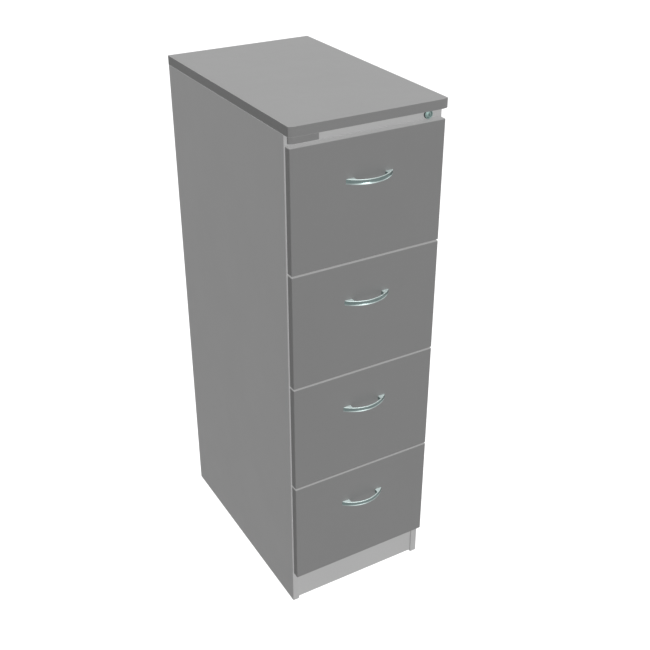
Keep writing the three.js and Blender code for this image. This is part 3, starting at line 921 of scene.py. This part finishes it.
def flute_levels(low, high, taper):
    """Heights up the strap's face, each with how far the flute is sunk there: part of a circle."""
    middle, reach = (low + high) / 2, (high - low) / 2 - FLUTE_EDGE
    radius = (reach * reach + FLUTE_DEPTH * FLUTE_DEPTH) / (2 * FLUTE_DEPTH)
    levels = [(low, 0.0)]
    for step in range(FLUTE_STEPS + 1):
        offset = reach * (2 * step / FLUTE_STEPS - 1)
        sunk = math.sqrt(radius * radius - offset * offset) - radius + FLUTE_DEPTH
        levels.append((middle + offset, sunk * taper))
    return levels + [(high, 0.0)]


def build_handle(drawer):
    """A bow handle: an arched strap, fluted along its face, that runs out into two wedge feet."""
    node = f"{drawer}_handle"
    low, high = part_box(node)
    half = (high.x - low.x) / 2
    bm = bmesh.new()
    columns = []
    for index, (x, y) in enumerate(strap_points(half, high.y - low.y, HANDLE_STRAP, HANDLE_FOOT)):
        levels = [(low.z, 0.0), (high.z, 0.0)]
        if index <= BOW_STEPS:
            share = min(1.0, (half - abs(x)) / HANDLE_FOOT)
            levels = flute_levels(low.z, high.z, share * share * (3 - 2 * share))
        columns.append([bm.verts.new((x, high.y - y + sunk, z)) for z, sunk in levels])
    bm.faces.new([column[0] for column in columns])
    bm.faces.new([column[-1] for column in reversed(columns)])
    for index, column in enumerate(columns):
        after = columns[(index + 1) % len(columns)]
        if len(after) == len(column):
            for step in range(len(column) - 1):
                bm.faces.new((column[step], column[step + 1], after[step + 1], after[step]))
        else:
            bm.faces.new(column + after[::-1])
    bmesh.ops.recalc_face_normals(bm, faces=bm.faces)
    rims = []
    for edge in bm.edges:
        ends = [v.co for v in edge.verts]
        at_rim = any(all(abs(end.z - level) < TOLERANCE for end in ends) for level in (low.z, high.z))
        if at_rim and max(end.y for end in ends) < high.y - TOLERANCE:
            rims.append(edge)
    bevel(bm, rims, HANDLE_ROUND, ROUND_STEPS)
    chrome = bow_chrome("chrome_" + node, low, high)
    attach(settle(object_from(node + "_bow", bm, chrome)), drawer, "chrome", node)


def build_handle_screws(drawer):
    """The two screws that hold the handle, their heads inside the drawer."""
    low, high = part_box(f"{drawer}_handle")
    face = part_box(f"{drawer}_front")[1].y
    middle = (low.z + high.z) / 2
    screws = []
    for x in (low.x + HANDLE_FOOT / 2, high.x - HANDLE_FOOT / 2):
        name, spot = f"{drawer}_handle_screws", (x, face, middle)
        screws.append(turned(name, SCREW_HEAD, spot, (0, 1, 0), ZINC, SMALL_TURN_STEPS))
    attach(join(*screws), drawer, "zinc_plate")


def build_buffers(drawer):
    """Soft buffers on the front edges of the side panels, behind the drawer front."""
    low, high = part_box(f"{drawer}_front")
    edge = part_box("side_panel_left")[0].y
    buffers = []
    for x in (low.x + BUFFER_INSET, high.x - BUFFER_INSET):
        for z in (low.z + BUFFER_END, high.z - BUFFER_END):
            name, spot = f"{drawer}_buffers", (x, edge, z)
            buffers.append(turned(name, BUFFER_HEAD, spot, (0, -1, 0), NYLON, SMALL_TURN_STEPS))
    attach(join(*buffers), "root", "foot_plastic")


def build_drawer(drawer):
    """Everything that belongs to one drawer."""
    low_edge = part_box(f"{drawer}_front")[0].z
    build_front(drawer)
    build_tray(drawer, low_edge)
    build_handle(drawer)
    build_handle_screws(drawer)
    build_buffers(drawer)
    for side in SIDES:
        build_slide(drawer, side)


# ---------------------------------------------------------------- stage


def build_floor():
    """A wide matt floor. It looks near-white, and throws only a little light back up."""
    bm = bmesh.new()
    bmesh.ops.create_grid(bm, x_segments=1, y_segments=1, size=FLOOR_SIZE / 2)
    material, tree, shader = nodes_of("floor")
    path = add(tree, "ShaderNodeLightPath").outputs["Is Camera Ray"]
    tone = mix_colour(tree, path, FLOOR_BOUNCE, FLOOR_SEEN)
    tree.links.new(tone, shader.inputs["Base Color"])
    shader.inputs["Roughness"].default_value = 1.0
    shader.inputs["Specular IOR Level"].default_value = 0.0
    floor = object_from("floor", bm, material)


def build_world():
    """A white studio: full brightness to the camera, less in reflections, and little as light."""
    world = bpy.data.worlds.new("studio")
    world.use_nodes = True
    tree = world.node_tree
    background = tree.nodes["Background"]
    background.inputs["Color"].default_value = (1.0, 1.0, 1.0, 1.0)
    path = add(tree, "ShaderNodeLightPath")
    around = span(tree, path.outputs["Is Glossy Ray"], 0.0, 1.0, AMBIENT, REFLECTED)
    seen = span(tree, path.outputs["Is Camera Ray"], 0.0, 1.0, around, 1.0)
    tree.links.new(seen, background.inputs["Strength"])
    bpy.context.scene.world = world


def build_sun(name, towards, strength, spread):
    """An even studio light from a direction, which throws no shadow."""
    light = bpy.data.lights.new(name, "SUN")
    light.energy = strength * math.pi
    light.angle = math.radians(spread)
    light.use_shadow = False
    lamp = bpy.data.objects.new(name, light)
    bpy.context.scene.collection.objects.link(lamp)
    lamp.rotation_mode = "QUATERNION"
    lamp.rotation_quaternion = Vector(towards).to_track_quat("Z", "Y")


def build_camera():
    """The camera, at its measured place in front of the carcass."""
    camera = bpy.data.objects.new("camera", bpy.data.cameras.new("camera"))
    bpy.context.scene.collection.objects.link(camera)
    camera.data.sensor_width = SENSOR
    camera.data.lens = LENS
    camera.data.clip_start, camera.data.clip_end = CLIP
    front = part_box("side_panel_left")[0].y
    camera.location = Vector(CAMERA_FROM_FRONT) + Vector((0, front, 0))
    flat = math.cos(CAMERA_ELEVATION)
    sideways, forwards = math.sin(CAMERA_AZIMUTH) * flat, math.cos(CAMERA_AZIMUTH) * flat
    back = Vector((sideways, -forwards, math.sin(CAMERA_ELEVATION)))
    camera.rotation_mode = "QUATERNION"
    camera.rotation_quaternion = back.to_track_quat("Z", "Y")
    bpy.context.scene.camera = camera


build_sides()
build_top()
build_back()
build_rails()
build_nameplate()
build_feet()
build_lock()
for drawer in DRAWERS:
    build_drawer(drawer)
build_floor()
build_world()
for sun in SUNS:
    build_sun(*sun)
build_camera()
bpy.context.scene.view_settings.view_transform = "Standard"
